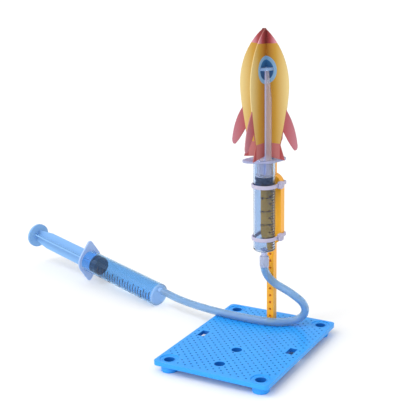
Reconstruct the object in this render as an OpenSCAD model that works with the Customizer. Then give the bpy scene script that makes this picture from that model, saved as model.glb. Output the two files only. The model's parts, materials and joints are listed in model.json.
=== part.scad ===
// Hydraulic rocket lift: two syringes joined by a tube, one of them tied to a
// post on a perforated base plate and carrying a four-leaf card rocket.
// Origin: centre of the base plate, on the surface that the feet stand on.
// X runs across the plate, Y along it, and +Z is up. Sizes are in millimetres.

/* [Base plate] */
// Width of the plate
plate_w = 80; // [76:1:90]
// Depth of the plate
plate_d = 109.3; // [106:0.1:120]
// Thickness of the plate
plate_t = 3; // [2.6:0.1:4]
// Height of the feet under the plate
foot_h = 5; // [4:0.5:8]
// Spacing of the corner holes across the plate
corner_x = 64; // [60:1:66]
// Spacing of the corner holes along the plate
corner_y = 94; // [90:1:96]
// Radius of the hole through each foot
foot_hole_r = 3.4; // [3:0.1:3.6]
// Radius of the two holes on the centre line
centre_hole_r = 3.4; // [3:0.1:3.8]

/* [Post] */
// Side of the square post
post_s = 5; // [4.8:0.1:5.2]
// Place of the post along the plate
post_y = 36.7; // [34:0.1:40]
// Spacing of the small holes along the post
post_pitch = 5; // [4:0.5:8]

/* [Lift syringe] */
// Radius outside the 5 ml barrel
lift_or = 7.3; // [7.2:0.1:7.4]
// Radius of the 5 ml bore
lift_ir = 6.15; // [6:0.05:6.2]
// Length of the 5 ml barrel, shoulder to flange
lift_len = 62.2; // [60:0.1:64]
// Height of the 5 ml barrel's shoulder above the floor
lift_z = 63; // [62:0.5:64]

/* [Hand syringe] */
// Radius outside the 10 ml barrel
hand_or = 8.5; // [8.2:0.1:8.6]
// Radius of the 10 ml bore
hand_ir = 7.3; // [7.1:0.05:7.4]
// Length of the 10 ml barrel, shoulder to flange
hand_len = 84; // [80:1:86]

/* [Rocket] */
// Thickness of the card
card_t = 0.6; // [0.4:0.1:0.8]
// Widest radius of the rocket's body
rocket_r = 17.7; // [16:0.1:18]
// Turn of the rocket about its axis, in degrees
rocket_turn = -6.5; // [-30:0.1:30]

/* [Tube] */
// Outside diameter of the tube
tube_d = 5.4; // [5:0.1:5.6]

/* [Hidden] */
$fn = 48;
gap = 0.3;              // space between bodies that move past each other
seat_gap = 0.05;        // radial clearance of a close fit
plate_top = foot_h + plate_t;

plate_corner_r = 3;
dish_r = 6.2;
dish_depth = 0.6;
foot_socket_r = 4.3;
foot_top_r = 5.7;
foot_base_r = 5.3;
boss_r = 4.9;
boss_drop = 3;
centre_holes_y = [-16.1, -39.5];
slot_size = [5, 9];
slot_x = 32.2;
slot_y = -2.4;

flange_t = 1.5;
lift_pos = [-0.7, 26.4, lift_z];
lift_flange_turn = 47;
lift_flange = [29.6, 19];
lift_wing_r = 5;        // radius at the tips of the flange's two wings
post_top = lift_z + lift_len - flange_t - gap;
post_hole_r = 0.9;
post_hole_first = 13;

pad_w = 15.3;
pad_front_y = 34.5;
pad_back_y = 40.4;
pad_z = [64.7, 113.5];

tie_t = 1.1;
tie_w = 2.5;
tie_slack = 0.12;
tie_heights = [71.7, 107.3];
tie_head = [3.7, 4.4, 4.8];
tie_head_pos = [9.3, 31.7];
tie_tail = 1.6;

nozzle_len = 9;
nozzle_root_r = 2.2;
nozzle_tip_r = 2;
nozzle_bore_r = 1;
end_wall = 1.4;
barrel_rim = 0.9;

lift_piston_z = 44.7;   // front face of the piston above the barrel's shoulder
lift_piston_len = 5.6;
lift_rod = 69.3;        // from the piston's rear face to the thumb disc
lift_disc = [6.5, 1.6];
lift_fin = [5.3, 3.2, 18];

hand_flange = [34, 22];
hand_wing_r = 2.4;
hand_pitch = atan((hand_flange.x / 2 - hand_or) / (hand_len - flange_t));
hand_heading = 164.5;
hand_front = [-95.7, 44.2, hand_or * cos(hand_pitch)];
hand_nozzle_offset = 4.3;
hand_piston_z = 67.5;
hand_piston_len = 7;
hand_rod = 77.7;
hand_rod_turn = 26;      // turn of the rod's fins about the rod
hand_disc = [9.8, 1.8];
hand_fin = [6.8, 4.7, 16];

knob_r = 3;
knob_len = 2.6;
core_r = 1.25;
fin_t = 1.1;
pusher_t = 1.2;

tip_z = 208.6;
wide_z = 173;
waist = [11.6, 135];
skirt = [14.9, 125.5];
skirt_inner_z = 127;
leaf_inner_r = 1.35;
leaf_offset = fin_t / 2 + 0.02;
fin_root_z = [144.2, 157.6];
fin_tip = [22, 132.8];
fin_edge = [24.2, 136];
nose_radius = (pow(tip_z - wide_z, 2) + rocket_r * rocket_r) / (2 * rocket_r);

tube_sides = 12;
// The tube's centre line, from the lift syringe's nozzle to the hand syringe's
tube_route = [
    [-0.7, 26.4, 58], [-0.7, 26.4, 52], [-0.5, 27.9, 47], [1.3, 29.9, 42.4],
    [5, 31.4, 38.5], [9.6, 32, 36.1], [14.9, 31.5, 34.2], [19.9, 32.1, 31.2],
    [23.6, 34.4, 27], [24.8, 37, 21.6], [23, 38.4, 16.3], [18.9, 37.9, 12.5],
    [13.8, 35.5, 10.9], [8.8, 32.3, 10.8], [3, 29.8, 10.8], [-5, 28.6, 10.8],
    [-14, 28.3, 10.8], [-23, 28.4, 10.8], [-32, 28.9, 10.8], [-42, 30.1, 10.8],
    [-51, 31.8, 10.7], [-60, 33.9, 10.6], [-69, 36.4, 10.6], [-78, 39.1, 10.9],
    [-86.8, 41.7, 11.8], [-92.5, 43.3, 12.4]
];

// ---------- Base ----------

module corner_places() {
    for (x = [-1, 1], y = [-1, 1]) translate([x * corner_x / 2, y * corner_y / 2, 0]) children();
}

module plate_blank() {
    inner = [plate_w - 2 * plate_corner_r, plate_d - 2 * plate_corner_r];
    translate([0, 0, foot_h]) linear_extrude(plate_t) {
        square([plate_w, inner.y], center = true);
        square([inner.x, plate_d], center = true);
        for (x = [-1, 1], y = [-1, 1]) translate([x * inner.x / 2, y * inner.y / 2]) circle(plate_corner_r);
    }
}

module base_plate() {
    color("dodgerblue") difference() {
        union() {
            plate_blank();
            for (y = centre_holes_y) translate([0, y, foot_h - boss_drop]) cylinder(h = boss_drop, r = boss_r);
        }
        corner_places() {
            translate([0, 0, foot_h - 1]) cylinder(h = plate_t + 2, r = foot_socket_r);
            translate([0, 0, plate_top - dish_depth]) cylinder(h = plate_t, r = dish_r);
        }
        for (y = centre_holes_y) translate([0, y, foot_h - boss_drop - 1])
            cylinder(h = boss_drop + plate_t + 2, r = centre_hole_r);
        for (x = [-slot_x, slot_x]) translate([x - slot_size.x / 2, slot_y - slot_size.y / 2, foot_h - 1])
            cube([slot_size.x, slot_size.y, plate_t + 2]);
        socket = post_s + 2 * seat_gap;
        translate([-socket / 2, post_y - socket / 2, foot_h - 1]) cube([socket, socket, plate_t + 2]);
    }
}

module foot(x, y) {
    color("dodgerblue") translate([x * corner_x / 2, y * corner_y / 2, 0]) difference() {
        union() {
            cylinder(h = foot_h, r1 = foot_base_r, r2 = foot_top_r);
            cylinder(h = plate_top - dish_depth, r = foot_socket_r - seat_gap);
        }
        translate([0, 0, -1]) cylinder(h = plate_top + 2, r = foot_hole_r);
    }
}

// ---------- Post ----------

module post() {
    color("orange") difference() {
        translate([-post_s / 2, post_y - post_s / 2, foot_h]) cube([post_s, post_s, post_top - foot_h]);
        for (z = [post_hole_first : post_pitch : post_top - post_pitch / 2])
            translate([0, post_y + post_s, z]) rotate([90, 0, 0]) cylinder(h = 2 * post_s, r = post_hole_r);
    }
}

module post_pad() {
    end_r = pad_w / 2;
    groove = post_s + 2 * seat_gap;
    color("orange") difference() {
        translate([0, pad_back_y, 0]) rotate([90, 0, 0]) linear_extrude(pad_back_y - pad_front_y) {
            translate([-end_r, pad_z[0] + end_r]) square([pad_w, pad_z[1] - pad_z[0] - pad_w]);
            for (z = [pad_z[0] + end_r, pad_z[1] - end_r]) translate([0, z]) circle(end_r);
        }
        translate([-groove / 2, pad_front_y - 1, pad_z[0] - 1])
            cube([groove, post_y + groove / 2 - pad_front_y + 1, pad_z[1] - pad_z[0] + 2]);
    }
}

// ---------- Cable ties ----------

module tied_outline(slack) {
    hull() {
        translate([lift_pos.x, lift_pos.y]) circle(lift_or + slack);
        translate([-pad_w / 2 - slack, pad_front_y]) square([pad_w + 2 * slack, pad_back_y + slack - pad_front_y]);
    }
}

module cable_tie(z) {
    color("lavender") translate([0, 0, z - tie_w / 2]) {
        linear_extrude(tie_w) difference() {
            tied_outline(tie_slack + tie_t);
            tied_outline(tie_slack);
        }
        translate([tie_head_pos.x - tie_head.x / 2, tie_head_pos.y - tie_head.y / 2, (tie_w - tie_head.z) / 2])
            cube(tie_head);
        translate([tie_head_pos.x, tie_head_pos.y - tie_head.y / 2 - tie_tail, 0])
            cube([tie_t, tie_tail + 1, tie_w]);
    }
}

// ---------- Syringes ----------
// Each syringe is drawn along +Z, with its barrel's shoulder at z = 0.

// A disc with two wings that taper to rounded tips
module flange_outline(size, tip_r) {
    disc_r = size.y / 2;
    reach = size.x / 2 - tip_r;
    lean = acos((disc_r - tip_r) / reach);
    along = [disc_r * cos(lean), reach + tip_r * cos(lean)];
    half = [disc_r * sin(lean), tip_r * sin(lean)];
    circle(disc_r);
    for (side = [0, 180]) rotate(side) {
        translate([reach, 0]) circle(tip_r);
        polygon([[0, half[0]], [along[0], half[0]], [along[1], half[1]],
                 [along[1], -half[1]], [along[0], -half[0]], [0, -half[0]]]);
    }
}

module syringe_barrel(outer, inner, length, flange, wing_r, flange_turn, nozzle_x) {
    color("lightsteelblue", 0.5) difference() {
        union() {
            cylinder(h = barrel_rim, r1 = outer - barrel_rim, r2 = outer);
            translate([0, 0, barrel_rim]) cylinder(h = length - barrel_rim, r = outer);
            translate([0, 0, length - flange_t]) rotate(flange_turn) linear_extrude(flange_t) flange_outline(flange, wing_r);
            translate([nozzle_x, 0, -nozzle_len])
                cylinder(h = nozzle_len + end_wall / 2, r1 = nozzle_tip_r, r2 = nozzle_root_r);
        }
        translate([0, 0, end_wall]) cylinder(h = length, r = inner);
        translate([nozzle_x, 0, -nozzle_len - 1]) cylinder(h = nozzle_len + end_wall + 2, r = nozzle_bore_r);
    }
}

// A rubber piston with two seal ribs; its rear face has a socket for the rod's knob
module syringe_piston(inner, length) {
    seal = inner - seat_gap;
    waist_r = seal - 0.5;
    rib = length / 4;
    color([0.1, 0.15, 0.3]) difference() {
        rotate_extrude() polygon([
            [0, -0.8], [seal - 1.6, 0], [seal, 0.5], [seal, rib], [waist_r, rib + 0.4],
            [waist_r, length - rib - 0.4], [seal, length - rib], [seal, length - 0.3],
            [seal - 0.3, length], [0, length]
        ]);
        translate([0, 0, length - knob_len - 0.6]) cylinder(h = length, r = knob_r + seat_gap);
    }
}

// The rod starts at the piston's rear face, z = 0, and ends in the thumb disc.
// fin is [radius along the rod, radius at the disc, length of the taper].
module syringe_plunger(inner, length, disc, fin) {
    color("lightsteelblue", 0.6) {
        translate([0, 0, -knob_len]) cylinder(h = knob_len + 1, r = knob_r);
        translate([0, 0, gap]) cylinder(h = pusher_t, r = inner - 0.45);
        translate([0, 0, gap]) cylinder(h = length, r = core_r);
        for (a = [0 : 90 : 270]) rotate(a) translate([0, fin_t / 2, 0]) rotate([90, 0, 0])
            linear_extrude(fin_t) polygon([
                [0, pusher_t], [fin[0], pusher_t], [fin[0], length - fin[2]], [fin[1], length], [0, length]
            ]);
        translate([0, 0, length]) cylinder(h = disc[1], r = disc[0]);
    }
}

module lift_place(z) {
    translate([lift_pos.x, lift_pos.y, lift_pos.z + z]) children();
}

// The hand syringe leans on its front rim and on the lower wing of its flange
module hand_place(z) {
    translate(hand_front) rotate([0, 0, hand_heading]) rotate([0, 90 - hand_pitch, 0])
        translate([0, 0, z]) children();
}

module lift_barrel() {
    lift_place(0) syringe_barrel(lift_or, lift_ir, lift_len, lift_flange, lift_wing_r, lift_flange_turn, 0);
}

module lift_piston() {
    lift_place(lift_piston_z) syringe_piston(lift_ir, lift_piston_len);
}

module lift_plunger() {
    lift_place(lift_piston_z + lift_piston_len) rotate(rocket_turn)
        syringe_plunger(lift_ir, lift_rod, lift_disc, lift_fin);
}

module hand_barrel() {
    hand_place(0) syringe_barrel(hand_or, hand_ir, hand_len, hand_flange, hand_wing_r, 0, -hand_nozzle_offset);
}

module hand_piston() {
    hand_place(hand_piston_z) syringe_piston(hand_ir, hand_piston_len);
}

module hand_plunger() {
    hand_place(hand_piston_z + hand_piston_len) rotate(hand_rod_turn)
        syringe_plunger(hand_ir, hand_rod, hand_disc, hand_fin);
}

// ---------- Card rocket ----------

// Half width of the body below its widest point
function flank(z) = rocket_r - (rocket_r - waist.x) * pow((wide_z - z) / (wide_z - waist.y), 1.5);

// Half width of the nose, an arc from the widest point to the tip
function nose(z) = sqrt(pow(nose_radius, 2) - pow(z - wide_z, 2)) - nose_radius + rocket_r;

function bezier(a, b, c, steps) =
    [for (i = [1 : steps]) let (t = i / steps) (1 - t) * (1 - t) * a + 2 * t * (1 - t) * b + t * t * c];

function leaf_outline() = let (
    root_low = [flank(fin_root_z[0]), fin_root_z[0]],
    root_high = [flank(fin_root_z[1]), fin_root_z[1]],
    disc_z = lift_z + lift_piston_z + lift_piston_len + lift_rod
) concat(
    [[leaf_inner_r, skirt_inner_z], skirt],
    [for (z = [waist.y : 3 : fin_root_z[0] - 1]) [flank(z), z]],
    [root_low],
    bezier(root_low, [18.5, 136], fin_tip, 5),
    bezier(fin_tip, [fin_edge.x, fin_tip.y - 0.2], fin_edge, 4),
    bezier(fin_edge, [22.5, 149], root_high, 7),
    [for (z = [fin_root_z[1] + 2.5 : 3 : wide_z - 1]) [flank(z), z]],
    [for (k = [0 : 14]) let (z = wide_z + (tip_z - wide_z) * sin(90 * k / 14)) [nose(z), z]],
    [[-0.5, tip_z - 0.3], [-0.5, disc_z + lift_disc[1] + 0.2], [lift_disc[0] + 0.3, disc_z + lift_disc[1] + 0.2],
     [lift_disc[0] + 0.3, disc_z - 0.2], [leaf_inner_r, disc_z - 0.2]]
);

module rocket_leaf(turn) {
    color("gold") translate([lift_pos.x, lift_pos.y, 0]) rotate(rocket_turn + turn)
        translate([0, leaf_offset + card_t, 0]) rotate([90, 0, 0]) linear_extrude(card_t) polygon(leaf_outline());
}

// ---------- Tube ----------

function unit(v) = v / norm(v);
function heading(i) = unit(tube_route[min(i + 1, len(tube_route) - 1)] - tube_route[max(i - 1, 0)]);

// Side direction carried along the route from point to point without twisting
function side_dir(i) = i == 0
    ? unit(cross(heading(0), [0, 1, 0]))
    : let (n = side_dir(i - 1), t = heading(i)) unit(n - (n * t) * t);

module tube() {
    rings = len(tube_route);
    points = [for (i = [0 : rings - 1]) let (n = side_dir(i), m = cross(heading(i), n))
        for (k = [0 : tube_sides - 1]) let (a = 360 * k / tube_sides)
            tube_route[i] + tube_d / 2 * (cos(a) * n + sin(a) * m)];
    walls = [for (i = [0 : rings - 2], k = [0 : tube_sides - 1]) let (j = (k + 1) % tube_sides)
        [i * tube_sides + k, (i + 1) * tube_sides + k, (i + 1) * tube_sides + j, i * tube_sides + j]];
    first = [for (k = [0 : tube_sides - 1]) k];
    last = [for (k = [tube_sides - 1 : -1 : 0]) (rings - 1) * tube_sides + k];
    color("lightskyblue", 0.6) polyhedron(points, concat([first], walls, [last]), convexity = 6);
}

base_plate();
foot(-1, -1);  // foot_front_left
foot(1, -1);  // foot_front_right
foot(-1, 1);  // foot_rear_left
foot(1, 1);  // foot_rear_right
post();
post_pad();
cable_tie(tie_heights[0]);  // tie_lower
cable_tie(tie_heights[1]);  // tie_upper
lift_barrel();
lift_piston();
lift_plunger();
rocket_leaf(0);  // rocket_leaf_right
rocket_leaf(90);  // rocket_leaf_rear
rocket_leaf(180);  // rocket_leaf_left
rocket_leaf(270);  // rocket_leaf_front
hand_barrel();
hand_piston();
hand_plunger();
tube();
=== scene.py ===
"""Looks of the hydraulic rocket lift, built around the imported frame.

Every size is in metres in the frame's own axes. MM turns the millimetres that the part is designed in
into metres.
"""
import json
import math

import bmesh
import bpy
from mathutils import Matrix, Vector


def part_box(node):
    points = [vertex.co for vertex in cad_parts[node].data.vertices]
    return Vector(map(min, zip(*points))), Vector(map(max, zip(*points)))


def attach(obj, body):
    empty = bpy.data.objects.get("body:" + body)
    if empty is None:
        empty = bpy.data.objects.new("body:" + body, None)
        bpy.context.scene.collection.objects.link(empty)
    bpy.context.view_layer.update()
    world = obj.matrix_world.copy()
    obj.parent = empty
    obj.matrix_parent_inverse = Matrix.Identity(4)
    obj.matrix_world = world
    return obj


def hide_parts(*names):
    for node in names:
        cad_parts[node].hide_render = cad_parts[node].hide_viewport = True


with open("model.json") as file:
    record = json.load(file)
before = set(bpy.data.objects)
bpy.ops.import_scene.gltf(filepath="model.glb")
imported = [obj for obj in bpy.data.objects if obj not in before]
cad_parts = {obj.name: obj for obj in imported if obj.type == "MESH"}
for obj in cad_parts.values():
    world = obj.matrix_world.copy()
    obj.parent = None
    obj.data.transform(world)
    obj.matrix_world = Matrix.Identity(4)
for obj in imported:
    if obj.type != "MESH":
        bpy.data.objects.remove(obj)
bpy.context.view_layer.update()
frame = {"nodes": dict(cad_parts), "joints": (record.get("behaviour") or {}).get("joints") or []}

MM = 0.001
MERGE_WITHIN = 0.002 * MM           # points closer than this are joined
FLAT_WITHIN = math.radians(0.4)     # faces that turn by less than this are one face
SKIN = 0.1 * MM                     # a face this near a round wall is part of it

# ---------- Places taken from the frame ----------


def centre(node):
    low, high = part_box(node)
    return (low + high) / 2


def joint(name):
    return next(j for j in frame["joints"] if j["name"] == name)


UP = Vector((0, 0, 1))

LIFT_AXIS = centre("lift_piston")
LIFT_R = 7.3 * MM               # the outside of the lift barrel
LIFT_SHOULDER_Z = 63 * MM       # where the lift barrel narrows to its nozzle
PLATE_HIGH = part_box("base_plate")[1]
DISC_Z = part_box("lift_plunger")[1].z - 1.7 * MM     # the lower face of the lift rod's thumb disc
POST_Y = centre("post").y

HAND_R = 8.5 * MM               # the outside of the hand barrel
HAND_PISTON_REAR = 74.5 * MM    # from the hand barrel's shoulder to the piston's rear face
HAND_OUT = Vector(joint("hand_spin")["axis"]).normalized()
HAND_FRONT = Vector(joint("hand_spin")["pos_m"]) - HAND_OUT * HAND_PISTON_REAR
HAND_SIDE = UP.cross(HAND_OUT).normalized()
HAND_UP = HAND_OUT.cross(HAND_SIDE)


# ---------- Camera, floor and light ----------

CAMERA_PLACE = Vector((250.41, -499.92, 254.21)) * MM
CAMERA_ANGLES = (29.02, 15.65, -0.96)   # azimuth, elevation and roll in degrees
CAMERA_LENS = 78.65                     # in millimetres, for the sensor width below
SENSOR_WIDTH = 36
SKY_COLOUR = (0.97, 0.985, 1, 1)
SKY_STRENGTH = 0.78
FLOOR_R = 14            # in metres, so wide that its rim is far behind the object
FLOOR_Z = -0.05 * MM    # just under the feet


def make_camera():
    azimuth, elevation, roll = (math.radians(a) for a in CAMERA_ANGLES)
    right = Vector((math.cos(azimuth), math.sin(azimuth), 0))
    back = Vector((math.sin(azimuth) * math.cos(elevation), -math.cos(azimuth) * math.cos(elevation),
                   math.sin(elevation)))
    up = back.cross(right)
    x_axis = math.cos(roll) * right + math.sin(roll) * up
    y_axis = math.cos(roll) * up - math.sin(roll) * right
    camera = bpy.data.objects.new("camera", bpy.data.cameras.new("camera"))
    camera.data.lens = CAMERA_LENS
    camera.data.sensor_width = SENSOR_WIDTH
    camera.matrix_world = (Matrix.Translation(CAMERA_PLACE)
                           @ Matrix((x_axis, y_axis, back)).transposed().to_4x4())
    bpy.context.scene.collection.objects.link(camera)
    bpy.context.scene.camera = camera


def soft_sun(name, towards, spread, strength, colour):
    """An even light from one direction, as wide in the sky as spread degrees."""
    light = bpy.data.lights.new(name, "SUN")
    light.angle = math.radians(spread)
    light.energy = strength
    light.color = colour
    lamp = bpy.data.objects.new(name, light)
    lamp.rotation_euler = Vector(towards).to_track_quat("-Z", "Y").to_euler()
    bpy.context.scene.collection.objects.link(lamp)


def make_studio():
    world = bpy.data.worlds.new("studio")
    world.use_nodes = True
    background = world.node_tree.nodes["Background"]
    background.inputs["Color"].default_value = SKY_COLOUR
    background.inputs["Strength"].default_value = SKY_STRENGTH
    bpy.context.scene.world = world
    bpy.context.scene.view_settings.view_transform = "Standard"
    soft_sun("key", towards=(0.4, 0.75, -0.8), spread=70, strength=1.5, colour=(1, 0.985, 0.96))
    soft_sun("fill", towards=(-0.9, 0.4, -0.8), spread=80, strength=0.2, colour=(0.94, 0.97, 1))
    soft_sun("glint", towards=(0.25, 0.5, -0.85), spread=7, strength=0.22, colour=(1, 1, 1))


def make_floor():
    mesh = bpy.data.meshes.new("floor")
    build = bmesh.new()
    bmesh.ops.create_circle(build, cap_ends=True, segments=96, radius=FLOOR_R)
    build.to_mesh(mesh)
    build.free()
    floor = bpy.data.objects.new("floor", mesh)
    floor.location.z = FLOOR_Z
    bpy.context.scene.collection.objects.link(floor)
    return floor


# ---------- Mesh helpers ----------


def new_piece(name, build, smooth_below=35):
    """A mesh object from a bmesh, smooth where its faces meet at less than that many degrees."""
    bmesh.ops.recalc_face_normals(build, faces=build.faces)
    mesh = bpy.data.meshes.new(name)
    build.to_mesh(mesh)
    build.free()
    mesh.shade_smooth()
    mesh.set_sharp_from_angle(angle=math.radians(smooth_below))
    piece = bpy.data.objects.new(name, mesh)
    bpy.context.scene.collection.objects.link(piece)
    return piece


def apply_modifiers(piece):
    """Leaves the piece as the plain mesh that its modifiers make."""
    evaluated = piece.evaluated_get(bpy.context.evaluated_depsgraph_get())
    mesh = bpy.data.meshes.new_from_object(evaluated)
    piece.modifiers.clear()
    piece.data = mesh


def finish_piece(piece, body, material):
    piece.data.materials.clear()
    piece.data.materials.append(material)
    for polygon in piece.data.polygons:
        polygon.material_index = 0
    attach(piece, body)


def frame_of(origin, x_axis, y_axis, z_axis):
    turned = Matrix((x_axis, y_axis, z_axis)).transposed().to_4x4()
    return Matrix.Translation(origin) @ turned


def loft(build, rings, closed=False):
    """Joins rings of points, each as long as the others, and caps the two ends unless they meet."""
    made = [[build.verts.new(p) for p in ring] for ring in rings]
    count = len(made[0])
    pairs = list(zip(made, made[1:])) + ([(made[-1], made[0])] if closed else [])
    for one, two in pairs:
        for k in range(count):
            build.faces.new((one[k], one[(k + 1) % count], two[(k + 1) % count], two[k]))
    if not closed:
        build.faces.new(made[0])
        build.faces.new(made[-1])


def round_box(build, low, high, radius, segments=3):
    """A box with rounded edges."""
    made = bmesh.ops.create_cube(build, size=1)["verts"]
    size = Vector(high) - Vector(low)
    middle = (Vector(high) + Vector(low)) / 2
    for v in made:
        v.co = Vector(a * b for a, b in zip(v.co, size)) + middle
    edges = list({e for v in made for e in v.link_edges})
    bmesh.ops.bevel(build, geom=edges, offset=radius, segments=segments, affect="EDGES", profile=0.5)


def add_bevel(piece, width, segments, sharp_from):
    """Rounds the edges where faces meet at more than sharp_from degrees."""
    bevel = piece.modifiers.new("bevel", "BEVEL")
    bevel.width = width
    bevel.segments = segments
    bevel.limit_method = "ANGLE"
    bevel.angle_limit = math.radians(sharp_from)
    return bevel


def soften(node, width, segments=2):
    """Shades a CAD node smooth and rounds its sharp edges by modifiers; its vertices stay as they are."""
    piece = frame["nodes"][node]
    mesh = piece.data
    if "custom_normal" in mesh.attributes:
        mesh.attributes.remove(mesh.attributes["custom_normal"])
    mesh.shade_smooth()
    weld = piece.modifiers.new("weld", "WELD")
    weld.merge_threshold = MERGE_WITHIN
    flat = piece.modifiers.new("flat", "DECIMATE")
    flat.decimate_type = "DISSOLVE"
    flat.angle_limit = FLAT_WITHIN
    add_bevel(piece, width, segments, 35).harden_normals = True


def off_lift_axis(point):
    return math.hypot(point.x - LIFT_AXIS.x, point.y - LIFT_AXIS.y)


def off_hand_axis(point):
    way = point - HAND_FRONT
    return (way - way.dot(HAND_OUT) * HAND_OUT).length


def dress_part(node, inside, material):
    """Gives a further material to the CAD node's faces whose middle passes the test."""
    mesh = frame["nodes"][node].data
    mesh.materials.append(material)
    for polygon in mesh.polygons:
        if inside(polygon.center):
            polygon.material_index = len(mesh.materials) - 1


def dress(node, *materials):
    """Gives a CAD node its materials."""
    slots = frame["nodes"][node].data.materials
    slots.clear()
    for material in materials:
        slots.append(material)


# ---------- Materials ----------


class Shader:
    """A material's node tree, with short calls for the nodes used here."""

    def __init__(self, name):
        self.material = bpy.data.materials.new(name)
        self.material.use_nodes = True
        self.nodes = self.material.node_tree.nodes
        self.links = self.material.node_tree.links
        self.bsdf = self.nodes["Principled BSDF"]
        self.place = self.nodes.new("ShaderNodeTexCoord").outputs["Object"]

    def put(self, socket, value):
        if isinstance(value, bpy.types.NodeSocket):
            self.links.new(value, socket)
        else:
            socket.default_value = value

    def set(self, **values):
        """Sets or links the shader's inputs; an underscore in a name stands for a space."""
        for name, value in values.items():
            self.put(self.bsdf.inputs[name.replace("_", " ")], value)

    def math(self, operation, *values, clamp=False):
        node = self.nodes.new("ShaderNodeMath")
        node.operation = operation
        node.use_clamp = clamp
        for socket, value in zip(node.inputs, values):
            self.put(socket, value)
        return node.outputs[0]

    def noise(self, scale, detail=3, stretch=(1, 1, 1)):
        """Noise whose patches are about one over scale metres wide."""
        mapping = self.nodes.new("ShaderNodeMapping")
        mapping.inputs["Scale"].default_value = stretch
        self.put(mapping.inputs["Vector"], self.place)
        node = self.nodes.new("ShaderNodeTexNoise")
        node.inputs["Scale"].default_value = scale
        node.inputs["Detail"].default_value = detail
        self.put(node.inputs["Vector"], mapping.outputs[0])
        return node.outputs[0]

    def between(self, value, low, high):
        """Takes a value from 0 to 1 to one from low to high."""
        return self.math("ADD", self.math("MULTIPLY", value, high - low), low)

    def mix(self, factor, a, b):
        node = self.nodes.new("ShaderNodeMix")
        node.data_type = "RGBA"
        self.put(node.inputs[0], factor)
        for socket, value in zip((node.inputs[6], node.inputs[7]), (a, b)):
            self.put(socket, value if isinstance(value, bpy.types.NodeSocket) else (*value, 1))
        return node.outputs[2]

    def bump(self, height, strength, distance):
        node = self.nodes.new("ShaderNodeBump")
        node.inputs["Strength"].default_value = strength
        node.inputs["Distance"].default_value = distance
        self.put(node.inputs["Height"], height)
        self.put(self.bsdf.inputs["Normal"], node.outputs[0])


def moulded(name, colour, pale, roughness=0.34, sheen_through=0.0):
    """Coloured moulded plastic: a soft cloudiness in the colour and a very fine spark-eroded grain."""
    s = Shader(name)
    s.set(Base_Color=s.mix(s.between(s.noise(45), -0.2, 1.0), colour, pale), IOR=1.47)
    s.set(Roughness=s.between(s.noise(260), roughness - 0.05, roughness + 0.09))
    s.set(Subsurface_Weight=sheen_through, Subsurface_Radius=(0.4, 0.4, 1.0), Subsurface_Scale=1.2 * MM)
    s.bump(s.noise(2600, detail=2), 0.18, 0.05 * MM)
    return s.material


def clear(name, tint, deep, transmission, roughness, flow=(1, 1, 1), areas=(), ior=1.2):
    """Clear or milky plastic, with faint flow marks stretched along the moulding.

    Each of areas is a factor, a tint and a transmission for the places where the factor is 1.
    """
    s = Shader(name)
    colour = s.mix(s.noise(60, stretch=flow), tint, deep)
    share = transmission
    for place, area_tint, area_share in areas:
        factor = place(s)
        colour = s.mix(factor, colour, area_tint)
        share = s.math("ADD", s.math("MULTIPLY", s.math("SUBTRACT", 1.0, factor), share),
                       s.math("MULTIPLY", factor, area_share))
    s.set(Base_Color=colour, IOR=ior, Transmission_Weight=share)
    s.set(Roughness=s.between(s.noise(160, stretch=flow), roughness - 0.03, roughness + 0.05))
    return s.material


def past(s, direction, low, high, origin=Vector()):
    """1 where the way from origin in a direction is from low to high, and 0 elsewhere."""
    soft = 0.6 * MM
    way = s.nodes.new("ShaderNodeVectorMath")
    way.operation = "DOT_PRODUCT"
    s.put(way.inputs[0], s.place)
    way.inputs[1].default_value = direction
    start = origin.dot(direction)
    reach = way.outputs["Value"]
    over = s.math("DIVIDE", s.math("SUBTRACT", reach, start + low), soft, clamp=True)
    under = s.math("DIVIDE", s.math("SUBTRACT", start + high, reach), soft, clamp=True)
    return s.math("MULTIPLY", over, under)


def lift_nozzle(s):
    """The lift barrel's nozzle, thick enough to look milky."""
    return past(s, UP, 0.0, LIFT_SHOULDER_Z)


def hand_nozzle(s):
    """The hand barrel's closed end and its nozzle, thick enough to look milky."""
    return past(s, HAND_OUT, -20 * MM, 1.5 * MM, HAND_FRONT)


def rod_centre(s):
    """The thick middle of the lift rod, where its fins meet."""
    core_r, soft = 1.7 * MM, 0.1 * MM
    xyz = s.nodes.new("ShaderNodeSeparateXYZ")
    s.put(xyz.inputs[0], s.place)
    away = [s.math("POWER", s.math("SUBTRACT", xyz.outputs[k], LIFT_AXIS[k]), 2.0) for k in (0, 1)]
    radius = s.math("SQRT", s.math("ADD", *away))
    return s.math("DIVIDE", s.math("SUBTRACT", core_r, radius), soft, clamp=True)


def rubber(name, colour, worn):
    s = Shader(name)
    s.set(Base_Color=s.mix(s.noise(190), colour, worn), IOR=1.5)
    s.set(Roughness=s.between(s.noise(700), 0.3, 0.5))
    s.bump(s.noise(1800), 0.2, 0.04 * MM)
    return s.material


def ink(name, colour, faded):
    s = Shader(name)
    s.set(Base_Color=s.mix(s.between(s.noise(900), 0, 0.8), colour, faded), Roughness=0.45)
    return s.material


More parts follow.
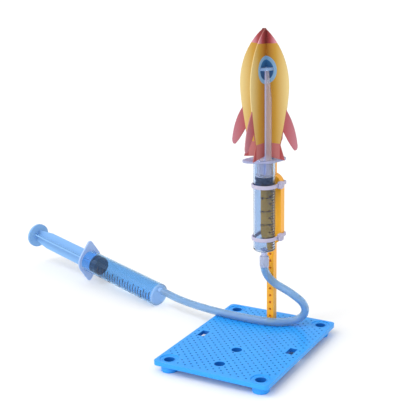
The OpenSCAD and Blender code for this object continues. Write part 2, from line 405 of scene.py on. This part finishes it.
def rocket_print_with_fold_shade(name, pale, roughness):
    """The printed face, with painted shade in the fold: its colours depend on the height and on the
    distance from the rocket's axis.

    pale is how much of the card's own colour shows through, least on a face and most on a cut edge.
    """
    nose_z, nose_r, skirt_z = 199.0 * MM, 9 * MM, 136.0 * MM
    window_z, ring_r, pane_r = 182.6 * MM, 8.9 * MM, 6.5 * MM
    outer_r, wide_z = 17.7 * MM, 173 * MM
    waist_r, waist_z = 11.6 * MM, 135 * MM
    fin_top_z, fin_reach = 158.2 * MM, 24.2 * MM
    soft = 0.12 * MM    # the width of a printed edge
    s = Shader(name)
    xyz = s.nodes.new("ShaderNodeSeparateXYZ")
    s.put(xyz.inputs[0], s.place)
    away = [s.math("SUBTRACT", xyz.outputs[k], LIFT_AXIS[k]) for k in (0, 1)]
    height = xyz.outputs[2]
    radius = s.math("SQRT", s.math("ADD", *[s.math("POWER", a, 2.0) for a in away]))
    out = s.math("DIVIDE", radius, outer_r, clamp=True)

    def above(level, value):
        return s.math("DIVIDE", s.math("SUBTRACT", value, level), soft, clamp=True)

    def ramp_with_fold_shade(across, fold, middle, outer):
        """A colour that goes from the fold at the axis to the outer edge, darker at the fold: partly
        printed gradient, partly painted shade where the leaves meet.
        """
        inner = s.mix(s.math("MULTIPLY", across, 2.2, clamp=True), fold, middle)
        return s.mix(s.math("MULTIPLY", s.math("SUBTRACT", across, 0.45), 1.8, clamp=True), inner, outer)

    # Darker towards the fold at the axis: partly the printed gradient, partly painted shade in the fold
    # where the four leaves meet
    body = ramp_with_fold_shade(out, (0.36, 0.12, 0.004), (0.52, 0.29, 0.035), (0.73, 0.58, 0.26))
    nose = ramp_with_fold_shade(s.math("DIVIDE", radius, nose_r, clamp=True),
                 (0.12, 0.002, 0.004), (0.34, 0.04, 0.05), (0.72, 0.33, 0.42))
    skirt = ramp_with_fold_shade(out, (0.3, 0.035, 0.04), (0.46, 0.14, 0.14), (0.5, 0.17, 0.18))
    # The fins darken towards the body: partly printed gradient, partly painted shade towards the fold
    fin_out = s.math("DIVIDE", s.math("SUBTRACT", radius, waist_r), fin_reach - waist_r, clamp=True)
    fin = s.mix(fin_out, (0.36, 0.04, 0.045), (0.46, 0.17, 0.22))
    # The fins start where the body's flank would end without them
    below_wide = s.math("DIVIDE", s.math("SUBTRACT", wide_z, height), wide_z - waist_z, clamp=True)
    flank = s.math("SUBTRACT", outer_r - 0.3 * MM,
                   s.math("MULTIPLY", s.math("POWER", below_wide, 1.5), outer_r - waist_r))
    fins = s.math("MULTIPLY", above(0.0, s.math("SUBTRACT", radius, flank)),
                  above(0.0, s.math("SUBTRACT", fin_top_z, height)))
    # A bowed boundary keeps the nose's lower edge parallel to its widest part
    bow = s.math("MULTIPLY", s.math("POWER", out, 2.0), 2.0 * MM)
    picture = s.mix(above(nose_z, s.math("SUBTRACT", height, bow)), body, nose)
    low = s.math("SUBTRACT", 1.0, above(skirt_z, height))
    picture = s.mix(fins, s.mix(low, picture, skirt), fin)
    up = s.math("SUBTRACT", height, window_z)
    reach = s.math("SQRT", s.math("ADD", s.math("POWER", up, 2.0), s.math("POWER", radius, 2.0)))
    ring = s.math("SUBTRACT", 1.0, above(ring_r, reach))
    pane = s.math("SUBTRACT", 1.0, above(pane_r, reach))
    glass = s.mix(s.math("DIVIDE", s.math("ADD", up, pane_r), 2 * pane_r, clamp=True),
                  (0.006, 0.05, 0.17), (0.015, 0.13, 0.33))
    picture = s.mix(ring, picture, (0.2, 0.38, 0.6))
    picture = s.mix(pane, picture, glass)
    mottle = s.mix(s.between(s.noise(1400), pale, pale + 0.06), picture, (0.7, 0.62, 0.48))
    s.set(Base_Color=mottle, IOR=1.4, Specular_IOR_Level=0.25)
    s.set(Roughness=s.between(s.noise(300), roughness - 0.05, roughness + 0.1))
    s.bump(s.noise(1900), 0.12, 0.04 * MM)
    return s.material


def floor_paper(name):
    s = Shader(name)
    s.set(Base_Color=s.mix(s.noise(6), (0.93, 0.93, 0.93), (0.95, 0.95, 0.95)), Roughness=0.9)
    return s.material


# ---------- Tube ----------

TUBE_R = 2.7 * MM
TUBE_BORE_R = 1.75 * MM
NOZZLE_BORE_R = 2.3 * MM        # the bore where the tube is stretched over a nozzle
NOZZLE_COVER = 5 * MM           # the length of tube on each nozzle
# The tube's centre line, from the lift syringe's nozzle to the hand syringe's
TUBE_ROUTE = [Vector(p) * MM for p in (
    (-0.7, 26.4, 58), (-0.7, 26.4, 52), (-0.5, 27.9, 47), (1.3, 29.9, 42.4),
    (5, 31.4, 38.5), (9.6, 32, 36.1), (14.9, 31.5, 34.2), (19.9, 32.1, 31.2),
    (23.6, 34.4, 27), (24.8, 37, 21.6), (23, 38.4, 16.3), (18.9, 37.9, 12.5),
    (13.8, 35.5, 10.9), (8.8, 32.3, 10.8), (3, 29.8, 10.8), (-5, 28.6, 10.8),
    (-14, 28.3, 10.8), (-23, 28.4, 10.8), (-32, 28.9, 10.8), (-42, 30.1, 10.8),
    (-51, 31.8, 10.7), (-60, 33.9, 10.6), (-69, 36.4, 10.6), (-78, 39.1, 10.9),
    (-86.8, 41.7, 11.8), (-92.5, 43.3, 12.4),
)]


def smooth_route(points, steps):
    """A Catmull-Rom curve through the points."""
    ends = [2 * points[0] - points[1], *points, 2 * points[-1] - points[-2]]
    line = []
    for a, b, c, d in zip(ends, ends[1:], ends[2:], ends[3:]):
        for k in range(steps):
            t = k / steps
            line.append(0.5 * (2 * b + (c - a) * t + (2 * a - 5 * b + 4 * c - d) * t * t
                               + (3 * b - a - 3 * c + d) * t ** 3))
    return [*line, points[-1]]


def along(line):
    """How far each point is along the line."""
    far = [0.0]
    for a, b in zip(line, line[1:]):
        far.append(far[-1] + (b - a).length)
    return far


def ring_at(point, side, forward, radius, count):
    other = forward.cross(side)
    return [point + radius * (math.cos(a) * side + math.sin(a) * other)
            for a in (2 * math.pi * k / count for k in range(count))]


def make_tube(material):
    sides, steps = 24, 8
    taper = 1.5 * MM    # the length over which the bore widens on to a nozzle
    line = smooth_route(TUBE_ROUTE, steps)
    far = along(line)
    side = Vector((1, 0, 0))
    outer, inner = [], []
    for i, point in enumerate(line):
        forward = (line[min(i + 1, len(line) - 1)] - line[max(i - 1, 0)]).normalized()
        side = (side - side.dot(forward) * forward).normalized()
        near_end = min(far[i], far[-1] - far[i])
        stretch = min(1.0, max(0.0, (NOZZLE_COVER + taper - near_end) / taper))
        bore = TUBE_BORE_R + (NOZZLE_BORE_R - TUBE_BORE_R) * stretch
        outer.append(ring_at(point, side, forward, TUBE_R, sides))
        inner.append(ring_at(point, side, forward, bore, sides))
    build = bmesh.new()
    loft(build, outer + inner[::-1], closed=True)
    tube = new_piece("supply_tube", build, 60)
    finish_piece(tube, "root", material)
    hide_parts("tube")
    return tube, line, far[-1]


def revolve(build, place, profile, segments=40):
    """A closed ring turned about place's own Z from a profile of (radius, height) points."""
    rings = []
    for k in range(segments):
        a = 2 * math.pi * k / segments
        rings.append([place @ Vector((r * math.cos(a), r * math.sin(a), z)) for r, z in profile])
    loft(build, rings, closed=True)


def make_sleeve(material):
    """The tube's swollen end on the lift syringe's nozzle."""
    top, bottom, lip = 58.6 * MM, 51.2 * MM, 0.35 * MM
    inside, outside = TUBE_R + 0.02 * MM, 3.15 * MM
    profile = [(inside, bottom), (outside - lip, bottom), (outside, bottom + 2 * lip),
               (outside, top - lip), (outside - lip, top), (inside, top)]
    build = bmesh.new()
    revolve(build, Matrix.Translation((LIFT_AXIS.x, LIFT_AXIS.y, 0)), profile)
    sleeve = new_piece("tube_sleeve", build)
    finish_piece(sleeve, "root", material)
    return sleeve


# ---------- Base plate ----------


CENTRE_HOLES_Y = (-16.1 * MM, -39.5 * MM)
CENTRE_HOLE_R = 3.4 * MM
FOOT_HOLE_R = 3.4 * MM
FOOT_X = 32 * MM
FOOT_Y = 47 * MM
SLOT_SIZE = Vector((5, 9)) * MM
SLOT_X = 32.2 * MM
SLOT_Y = -2.4 * MM
DIMPLE_PITCH = 2.65 * MM
DIMPLE_R = 0.68 * MM
DIMPLE_DEPTH = 1.1 * MM


def dimple_places():
    """The staggered pattern on the plate's top, kept off its edge, holes, slots and post."""
    edge, foot_clear, hole_clear, post_clear = 2.4 * MM, 7.4 * MM, 1.5 * MM, 3.6 * MM
    rounds = [(x, y, foot_clear) for x in (-FOOT_X, FOOT_X) for y in (-FOOT_Y, FOOT_Y)]
    rounds += [(0, y, CENTRE_HOLE_R + hole_clear) for y in CENTRE_HOLES_Y]
    squares = [(x, SLOT_Y, SLOT_SIZE.x / 2 + MM, SLOT_SIZE.y / 2 + MM) for x in (-SLOT_X, SLOT_X)]
    squares.append((0, POST_Y, post_clear, post_clear))
    across, deep = int(PLATE_HIGH.x / DIMPLE_PITCH), int(PLATE_HIGH.y / DIMPLE_PITCH)
    for i in range(-across, across + 1):
        for j in range(-deep, deep + 1):
            x, y = i * DIMPLE_PITCH, j * DIMPLE_PITCH
            if (i + j) % 2 or abs(x) > PLATE_HIGH.x - edge or abs(y) > PLATE_HIGH.y - edge:
                continue
            if any(math.hypot(x - cx, y - cy) < r for cx, cy, r in rounds):
                continue
            if any(abs(x - cx) < w and abs(y - cy) < d for cx, cy, w, d in squares):
                continue
            yield x, y


def dimple_cutter():
    floor_r, above, sides = 0.5 * MM, 0.3 * MM, 8
    build = bmesh.new()
    for x, y in dimple_places():
        rings = []
        for r, z in ((floor_r, -DIMPLE_DEPTH), (DIMPLE_R, 0), (DIMPLE_R, above)):
            rings.append([Vector((x + r * math.cos(a), y + r * math.sin(a), PLATE_HIGH.z + z))
                          for a in (2 * math.pi * k / sides for k in range(sides))])
        loft(build, rings)
    return new_piece("dimple_cutter", build)


def in_opening(point):
    """Whether the point is on the wall of a centre hole or of a slot."""
    rim, slack = 0.45 * MM, 0.05 * MM
    if point.z > PLATE_HIGH.z - rim:
        return False
    in_hole = any(math.hypot(point.x, point.y - y) < CENTRE_HOLE_R + slack for y in CENTRE_HOLES_Y)
    slot = SLOT_SIZE / 2 + Vector((slack, slack))
    return in_hole or (abs(abs(point.x) - SLOT_X) < slot.x and abs(point.y - SLOT_Y) < slot.y)


def in_dimple(point):
    """Whether the point is well down in one of the staggered dimples."""
    x, y = (round(c / DIMPLE_PITCH) * DIMPLE_PITCH for c in point.xy)
    beside = math.hypot(point.x - x, point.y - y)
    down = PLATE_HIGH.z - point.z
    rim, slack = 0.3 * MM, 0.1 * MM
    return beside < DIMPLE_R and rim < down < DIMPLE_DEPTH + slack


def make_plate(material, painted_shade_material):
    sharp_from = 40     # degrees
    build = bmesh.new()
    build.from_mesh(frame["nodes"]["base_plate"].data)
    bmesh.ops.remove_doubles(build, verts=build.verts, dist=MERGE_WITHIN)
    bmesh.ops.dissolve_limit(build, angle_limit=FLAT_WITHIN, verts=build.verts, edges=build.edges)
    plate = new_piece("perforated_plate", build)
    add_bevel(plate, 0.35 * MM, 3, sharp_from)
    apply_modifiers(plate)
    cutter = dimple_cutter()
    cut = plate.modifiers.new("dimples", "BOOLEAN")
    cut.object = cutter
    cut.operation = "DIFFERENCE"
    cut.solver = "MANIFOLD"
    apply_modifiers(plate)
    bpy.data.objects.remove(cutter)
    plate.data.shade_smooth()
    plate.data.set_sharp_from_angle(angle=math.radians(sharp_from))
    even = plate.modifiers.new("even", "WEIGHTED_NORMAL")
    even.keep_sharp = True
    even.weight = 100
    finish_piece(plate, "root", material)
    # The dimples and the walls of the centre holes and slots get the darker blue: painted shade in these
    # recesses
    plate.data.materials.append(painted_shade_material)
    for polygon in plate.data.polygons:
        polygon.material_index = int(in_dimple(polygon.center) or in_opening(polygon.center))
    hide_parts("base_plate")


# ---------- Cable ties ----------

TIE_WIDTH = 2.5 * MM
TIE_THICK = 1.1 * MM
TIE_STEPS = 72                              # points round a tie, and round each circle it passes
TIE_HEAD = Vector((8.8, 31.7, 0)) * MM      # its middle; the height is the tie's own
TIE_HEAD_REACH = Vector((1.6, 2.2, 2.3)) * MM
TIE_TAIL_Y = (-3.8 * MM, 3.0 * MM)          # where the tail starts and ends, from the head's middle


def hull(points):
    """The convex outline of points in a plane, anticlockwise."""
    ordered = sorted(set(points))

    def half(row):
        kept = []
        for p in row:
            while len(kept) > 1 and ((kept[-1][0] - kept[-2][0]) * (p[1] - kept[-2][1])
                                     - (kept[-1][1] - kept[-2][1]) * (p[0] - kept[-2][0])) <= 0:
                kept.pop()
            kept.append(p)
        return kept[:-1]

    return half(ordered) + half(ordered[::-1])


def tie_outline(grow):
    """The tie's path round the barrel and the pad, with its corners rounded."""
    low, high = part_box("post_pad")
    corner, slack = 0.5 * MM, 0.14 * MM
    digits = 7      # so that points which meet are the same point
    circles = [(LIFT_AXIS.x, LIFT_AXIS.y, LIFT_R + slack)]
    circles += [(x, y, corner) for x in (low.x + corner - slack, high.x - corner + slack)
                for y in (low.y + corner, high.y - corner + slack)]
    turns = [2 * math.pi * k / TIE_STEPS for k in range(TIE_STEPS)]
    return hull([(round(x + (r + grow) * math.cos(a), digits), round(y + (r + grow) * math.sin(a), digits))
                 for x, y, r in circles for a in turns])


def make_tie(name, node, material):
    low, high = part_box(node)
    z = (low.z + high.z) / 2
    half = TIE_WIDTH / 2
    chamfer = 0.25 * MM
    build = bmesh.new()
    lower = [(0, -half + chamfer), (chamfer, -half),
             (TIE_THICK - chamfer, -half), (TIE_THICK, -half + chamfer)]
    section = lower + [(grow, -up) for grow, up in reversed(lower)]
    outlines = {grow: spread_evenly(tie_outline(grow), TIE_STEPS) for grow in {g for g, _ in section}}
    rings = [[Vector((*outlines[grow][k], z + up)) for grow, up in section] for k in range(TIE_STEPS)]
    loft(build, rings, closed=True)
    head = Vector((TIE_HEAD.x, TIE_HEAD.y, z))
    round_box(build, head - TIE_HEAD_REACH, head + TIE_HEAD_REACH, 0.55 * MM)
    tail_low = head + Vector((0, TIE_TAIL_Y[0], -half))
    tail_high = head + Vector((TIE_THICK, TIE_TAIL_Y[1], half))
    round_box(build, tail_low, tail_high, 0.2 * MM)
    rib, pitch = 0.16 * MM, 0.9 * MM
    for k in range(-1, 2):
        place = head + Vector((TIE_HEAD_REACH.x, k * pitch, 0))
        round_box(build, place - Vector((rib, rib, half)), place + Vector((0, rib, half)), 0.05 * MM, 1)
    tie = new_piece(name, build)
    finish_piece(tie, "root", material)
    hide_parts(node)


def spread_evenly(outline, count):
    """The closed outline again, as so many points that start at its lowest Y and are evenly spaced."""
    start = min(range(len(outline)), key=lambda i: outline[i][1])
    loop = [Vector(p) for p in outline[start:] + outline[:start + 1]]
    far = along(loop)
    points, i = [], 0
    for k in range(count):
        want = far[-1] * k / count
        while far[i + 1] < want:
            i += 1
        points.append(loop[i].lerp(loop[i + 1], (want - far[i]) / max(far[i + 1] - far[i], 1e-12)))
    return points


# ---------- Printed scales ----------

INK_THICK = 0.05 * MM   # how far the ink stands above the barrel, and reaches into it
TICK_WIDTH = 0.7 * MM


def on_barrel(place, radius, angle, height, out=0.0):
    """A point at that angle and height on a barrel whose axis is place's Z."""
    return place @ Vector(((radius + out) * math.cos(angle), (radius + out) * math.sin(angle), height))


def add_mark(build, place, radius, angles, height, width):
    """A thin raised line of ink round part of the barrel."""
    first, last = angles
    steps = max(2, int((last - first) / 8))
    half = width / 2
    section = ((-half, -INK_THICK), (half, -INK_THICK), (half, INK_THICK), (-half, INK_THICK))
    rings = []
    for k in range(steps + 1):
        a = math.radians(first + (last - first) * k / steps)
        rings.append([on_barrel(place, radius, a, height + up, out) for up, out in section])
    loft(build, rings)


def add_numeral(build, place, radius, text, angle, height, size):
    """A numeral on the barrel, turned to read along it."""
    curve = bpy.data.curves.new("numeral", "FONT")
    curve.body = text
    curve.size = size
    curve.align_x = "CENTER"
    curve.align_y = "CENTER"
    curve.extrude = INK_THICK
    curve.offset = 0.12 * MM
    curve.resolution_u = 3
    holder = bpy.data.objects.new("numeral", curve)
    flat = bpy.data.meshes.new_from_object(holder)
    letter = bmesh.new()
    letter.from_mesh(flat)
    bmesh.ops.remove_doubles(letter, verts=letter.verts, dist=MERGE_WITHIN)
    for v in letter.verts:
        x, y, out = v.co
        v.co = on_barrel(place, radius, math.radians(angle) - y / radius, height + x, out)
    letter.to_mesh(flat)
    letter.free()
    build.from_mesh(flat)
    bpy.data.meshes.remove(flat)
    bpy.data.objects.remove(holder)
    bpy.data.curves.remove(curve)


def make_lift_scale(material):
    place = Matrix.Translation((LIFT_AXIS.x, LIFT_AXIS.y, 0))
    zero, millilitre, volume, parts = LIFT_SHOULDER_Z + 1.3 * MM, 9 * MM, 5, 5
    long_mark, short_mark, numeral_at = (-56, 14), (-28, 14), -73     # degrees round the barrel
    build = bmesh.new()
    for k in range(volume * parts + 1):
        major = k % parts == 0
        height = zero + millilitre * k / parts
        add_mark(build, place, LIFT_R, long_mark if major else short_mark, height, TICK_WIDTH)
        if major and k:
            add_numeral(build, place, LIFT_R, str(k // parts), numeral_at, height, 3.6 * MM)
    scale = new_piece("lift_scale", build)
    finish_piece(scale, "root", material)


def make_hand_scale(material):
    place = frame_of(HAND_FRONT, HAND_UP, HAND_SIDE, -HAND_OUT)
    zero, millilitre, volume, parts = 3.2 * MM, 5.98 * MM, 10, 2
    long_mark, short_mark, numeral_at = (64, 116), (74, 116), 130     # degrees round the barrel
    build = bmesh.new()
    for k in range(volume * parts + 1):
        height = -zero - millilitre * k / parts
        add_mark(build, place, HAND_R, short_mark if k % parts else long_mark, height, TICK_WIDTH)
        if k and k % (2 * parts) == 0:
            add_numeral(build, place, HAND_R, str(k // parts), numeral_at, height, 3.8 * MM)
    scale = new_piece("hand_scale", build)
    finish_piece(scale, "root", material)


# ---------- Rocket ----------


def dress_leaf(node, face, edge):
    """Prints the leaf's two faces and gives its cut edge the paler colour."""
    dress(node, face, edge)
    mesh = frame["nodes"][node].data
    low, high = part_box(node)
    wide = high - low
    flat_axis = Vector((0, 1, 0)) if wide.x > wide.y else Vector((1, 0, 0))
    for polygon in mesh.polygons:
        polygon.material_index = 0 if abs(polygon.normal.dot(flat_axis)) > 0.7 else 1


# ---------- The whole ----------

make_camera()
vinyl = clear("vinyl", (0.4, 0.64, 0.9), (0.36, 0.6, 0.88), 0.66, 0.05, ior=1.42)
sleeve_vinyl = clear("sleeve_vinyl", (0.66, 0.7, 0.86), (0.6, 0.65, 0.83), 0.4, 0.25)
tube, tube_line, tube_length = make_tube(vinyl)
sleeve = make_sleeve(sleeve_vinyl)
tuple(TUBE_ROUTE[0])
[tuple(p) for p in tube_line]

make_floor().data.materials.append(floor_paper("floor_paper"))
make_studio()

blue = moulded("blue_plastic", (0.018, 0.33, 0.9), (0.026, 0.37, 0.94), sheen_through=0.05)
# A darker blue for the dimples and the walls of the holes and slots: painted shade in these recesses, on
# the same plastic
blue_painted_shade = moulded("blue_painted_shade", (0.006, 0.14, 0.55), (0.008, 0.17, 0.6))
orange = moulded("orange_plastic", (0.98, 0.42, 0.014), (1.0, 0.46, 0.02), sheen_through=0.1)
nylon = moulded("nylon", (0.44, 0.41, 0.54), (0.54, 0.5, 0.64), roughness=0.4, sheen_through=0.2)
upright, lying = (1, 1, 0.15), (0.15, 0.4, 1)   # how the flow marks are stretched
barrel_plastic = clear("barrel_plastic", (0.6, 0.71, 0.87), (0.56, 0.68, 0.86), 0.98, 0.06, flow=upright,
                       areas=((lift_nozzle, (0.6, 0.63, 0.82), 0.4),))
barrel_wing = clear("barrel_wing", (0.44, 0.47, 0.68), (0.4, 0.42, 0.64), 0.3, 0.3)
hand_plastic = clear("hand_plastic", (0.37, 0.62, 0.87), (0.34, 0.59, 0.86), 0.97, 0.06, flow=lying,
                     areas=((hand_nozzle, (0.4, 0.6, 0.9), 0.4),))
hand_wing = clear("hand_wing", (0.5, 0.66, 0.95), (0.44, 0.61, 0.93), 0.25, 0.3)
rod_plastic = clear("rod_plastic", (0.93, 0.86, 0.88), (0.9, 0.83, 0.87), 0.72, 0.1, flow=upright,
                    areas=((rod_centre, (0.56, 0.56, 0.78), 0.0),))
rod_disc = clear("rod_disc", (0.3, 0.46, 0.74), (0.26, 0.42, 0.72), 0.2, 0.35)
hand_rod_plastic = clear("hand_rod_plastic", (0.29, 0.53, 0.86), (0.25, 0.49, 0.84), 0.15, 0.3, flow=lying)
piston_rubber = rubber("piston_rubber", (0.005, 0.016, 0.055), (0.01, 0.028, 0.08))
scale_ink = ink("scale_ink", (0.008, 0.01, 0.03), (0.03, 0.03, 0.05))
printed_card = rocket_print_with_fold_shade("printed_card", 0.0, 0.45)
cut_edge = rocket_print_with_fold_shade("cut_edge", 0.12, 0.8)

make_plate(blue, blue_painted_shade)
for corner in ("front_left", "front_right", "rear_left", "rear_right"):
    foot = "foot_" + corner
    dress(foot, blue)
    # The wall of the foot's hole gets the darker blue: painted shade in the hole
    dress_part(foot, lambda p, middle=centre(foot): (p - middle).xy.length < FOOT_HOLE_R + SKIN, blue_painted_shade)
    soften(foot, 0.3 * MM)
for name, width in (("post", 0.3), ("post_pad", 0.5)):
    dress(name, orange)
    soften(name, width * MM)
make_tie("lower_band", "tie_lower", nylon)
make_tie("upper_band", "tie_upper", nylon)

for name, material, width in (
    ("lift_barrel", barrel_plastic, 0.25), ("hand_barrel", hand_plastic, 0.25),
    ("lift_plunger", rod_plastic, 0.15), ("hand_plunger", hand_rod_plastic, 0.2),
    ("lift_piston", piston_rubber, 0.1), ("hand_piston", piston_rubber, 0.1),
):
    dress(name, material)
    soften(name, width * MM)
dress_part("lift_barrel", lambda p: off_lift_axis(p) > LIFT_R + SKIN, barrel_wing)
dress_part("hand_barrel", lambda p: off_hand_axis(p) > HAND_R + SKIN, hand_wing)
dress_part("lift_plunger", lambda p: p.z > DISC_Z, rod_disc)
# Sunlight doesn't pass through a clear shell in the render, so these three cast no shadow
for name in ("lift_barrel", "lift_plunger", "hand_barrel"):
    frame["nodes"][name].visible_shadow = False
make_lift_scale(scale_ink)
make_hand_scale(scale_ink)
for side in ("right", "rear", "left", "front"):
    dress_leaf("rocket_leaf_" + side, printed_card, cut_edge)
